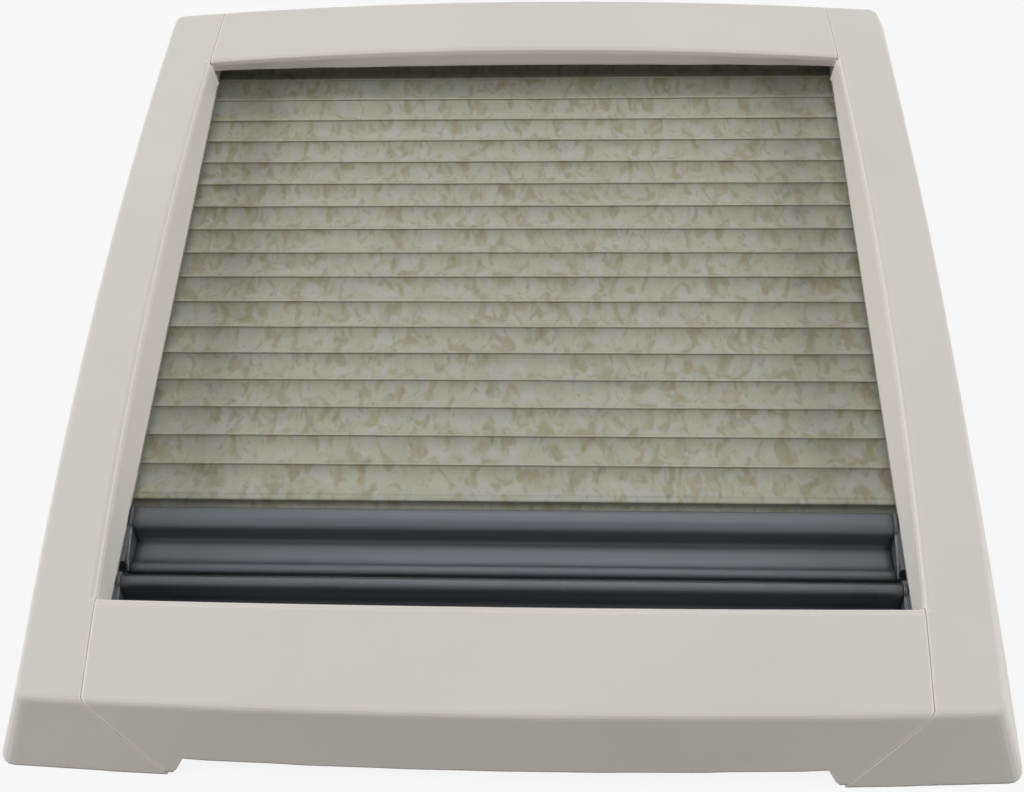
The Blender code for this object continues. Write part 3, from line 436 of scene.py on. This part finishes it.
def make_cloth():
    sheet, length = swept_sheet("blind_cloth", cloth_line(), CLOTH_COLUMNS, CLOTH_WAVE, CLOTH_THICKNESS)
    sheet.data.materials.append(marbled_cloth())
    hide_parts("blind_pleats")
    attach(sheet, "frame")
    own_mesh(sheet)


def net_line():
    """The gathered folds of the net from its fixed end to its bar."""
    pitch = (NET_FAR - NET_NEAR) / NET_FOLDS
    low = CLOTH_MIDDLE - NET_RISE / 2
    line = [(NET_NEAR + (fold + share) * pitch, low + up * NET_RISE, 0.0)
            for fold in range(NET_FOLDS) for share, up in NET_SHAPE]
    return line + [(NET_FAR, low, 0.0)]


def make_net():
    sheet, length = swept_sheet("screen_net", net_line(), NET_COLUMNS, 0.0, NET_THICKNESS)
    sheet.data.materials.append(net_material())
    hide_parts("screen_pleats")
    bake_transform(sheet)


def finish_nodes():
    """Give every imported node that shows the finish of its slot, and the long bars their own."""
    finishes = {
        "frame_plastic": frame_finish(),
        "bar_plastic": bar_finish("Cap plastic", CAP_EDGE),
        "track_metal": metal_finish("Track metal", TRACK_COLOUR, TRACK_ROUGHNESS, TRACK_METALLIC),
        "steel": metal_finish("Steel", STEEL_COLOUR, STEEL_ROUGHNESS, 1.0),
        "cord_fibre": cord_finish(),
    }
    pull_bar = bar_finish("Bar plastic", BAR_EDGE)
    for entry in frame["record"]["subparts"]:
        finish = pull_bar if "pull_bar" in entry["node"] else finishes.get(entry["material_slot"])
        if not finish:
            continue
        node = frame["nodes"][entry["node"]]
        node.data.materials.clear()
        node.data.materials.append(finish)


def seen_directly(tree):
    """One for rays from the camera, off glossy surfaces and through clear ones, else zero."""
    light_path = tree.nodes.new("ShaderNodeLightPath")
    either = operate(tree, "ShaderNodeMath", "ADD")
    any_ray = operate(tree, "ShaderNodeMath", "ADD")
    any_ray.use_clamp = True
    link(tree, light_path, "Is Camera Ray", either, 0)
    link(tree, light_path, "Is Glossy Ray", either, 1)
    link(tree, either, "Value", any_ray, 0)
    link(tree, light_path, "Is Transmission Ray", any_ray, 1)
    return any_ray


def round_the_part(tree):
    """Zero under the part, where its own shadow lies, and the glow's share outside its foot."""
    inner = (cad_high.x - FLOOR_SHADE, cad_high.y - FLOOR_SHADE, 0.0)
    place = tree.nodes.new("ShaderNodeTexCoord")
    reach = operate(tree, "ShaderNodeVectorMath", "ABSOLUTE")
    beyond = operate(tree, "ShaderNodeVectorMath", "SUBTRACT", inner)
    split = tree.nodes.new("ShaderNodeSeparateXYZ")
    furthest = operate(tree, "ShaderNodeMath", "MAXIMUM")
    fade = add(tree, "ShaderNodeMapRange", From_Min=-FLOOR_SHADE, From_Max=0.0, To_Max=FLOOR_GLOW)
    link(tree, place, "Object", reach, 0)
    link(tree, reach, "Vector", beyond, 0)
    link(tree, beyond, "Vector", split, "Vector")
    link(tree, split, "X", furthest, 0)
    link(tree, split, "Y", furthest, 1)
    link(tree, furthest, "Value", fade, "Value")
    return fade


def floor_material():
    """A pale floor that takes shadows, mixed with white where it is seen directly."""
    material, tree, shader = new_material("Floor", FLOOR_COLOUR, FLOOR_ROUGHNESS)
    glow = add(tree, "ShaderNodeEmission", Color=(1, 1, 1, 1), Strength=1.0)
    mix = tree.nodes.new("ShaderNodeMixShader")
    share = operate(tree, "ShaderNodeMath", "MULTIPLY")
    link(tree, seen_directly(tree), "Value", share, 0)
    link(tree, round_the_part(tree), "Result", share, 1)
    link(tree, share, "Value", mix, "Fac")
    link(tree, shader, "BSDF", mix, 1)
    link(tree, glow, "Emission", mix, 2)
    link(tree, mix, "Shader", tree.nodes["Material Output"], "Surface")
    return material


def make_floor():
    corners = [(x * FLOOR_REACH, y * FLOOR_REACH, 0) for x, y in ((-1, -1), (1, -1), (1, 1), (-1, 1))]
    mesh = bpy.data.meshes.new("floor")
    mesh.from_pydata(corners, [], [(0, 1, 2, 3)])
    mesh.materials.append(floor_material())
    floor = place_object("floor", mesh)
    floor.location.z = cad_low.z - FLOOR_GAP


def make_world():
    """A white surround that lights the part at the ambient level only."""
    world = bpy.data.worlds.new("Studio")
    bpy.context.scene.world = world
    world.use_nodes = True
    tree = world.node_tree
    background = tree.nodes["Background"]
    background.inputs["Color"].default_value = (1.0, 1.0, 1.0, 1.0)
    level = add(tree, "ShaderNodeMapRange", To_Min=AMBIENT, To_Max=1.0)
    link(tree, seen_directly(tree), "Value", level, "Value")
    link(tree, level, "Result", background, "Strength")


def make_lamp(name, tilt, compass, sides, power):
    """A soft lamp at the reach from the frame's centre, aimed at it."""
    data = bpy.data.lights.new(name, "AREA")
    data.shape = "RECTANGLE"
    data.size, data.size_y = sides
    data.energy = power
    lamp = place_object(name, data)
    tilt, compass = math.radians(tilt), math.radians(compass)
    lamp.location = (LAMP_REACH * math.sin(tilt) * math.cos(compass),
                     LAMP_REACH * math.sin(tilt) * math.sin(compass), LAMP_REACH * math.cos(tilt))
    lamp.rotation_euler = lamp.location.to_track_quat("Z", "Y").to_euler()


def make_camera():
    data = bpy.data.cameras.new("Camera")
    data.lens = LENS
    data.sensor_width = SENSOR
    data.sensor_fit = "HORIZONTAL"
    data.clip_start = NEAR_CLIP
    data.clip_end = FAR_CLIP
    camera = place_object("Camera", data)
    camera.location = CAMERA_PLACE
    camera.rotation_euler = [math.radians(angle) for angle in CAMERA_TURN]
    bpy.context.scene.camera = camera


make_camera()
finish_nodes()
make_cloth()
make_net()
make_floor()
make_world()
for name, lamp in LAMPS.items():
    make_lamp(name, *lamp)
bpy.context.scene.view_settings.view_transform = "Standard"
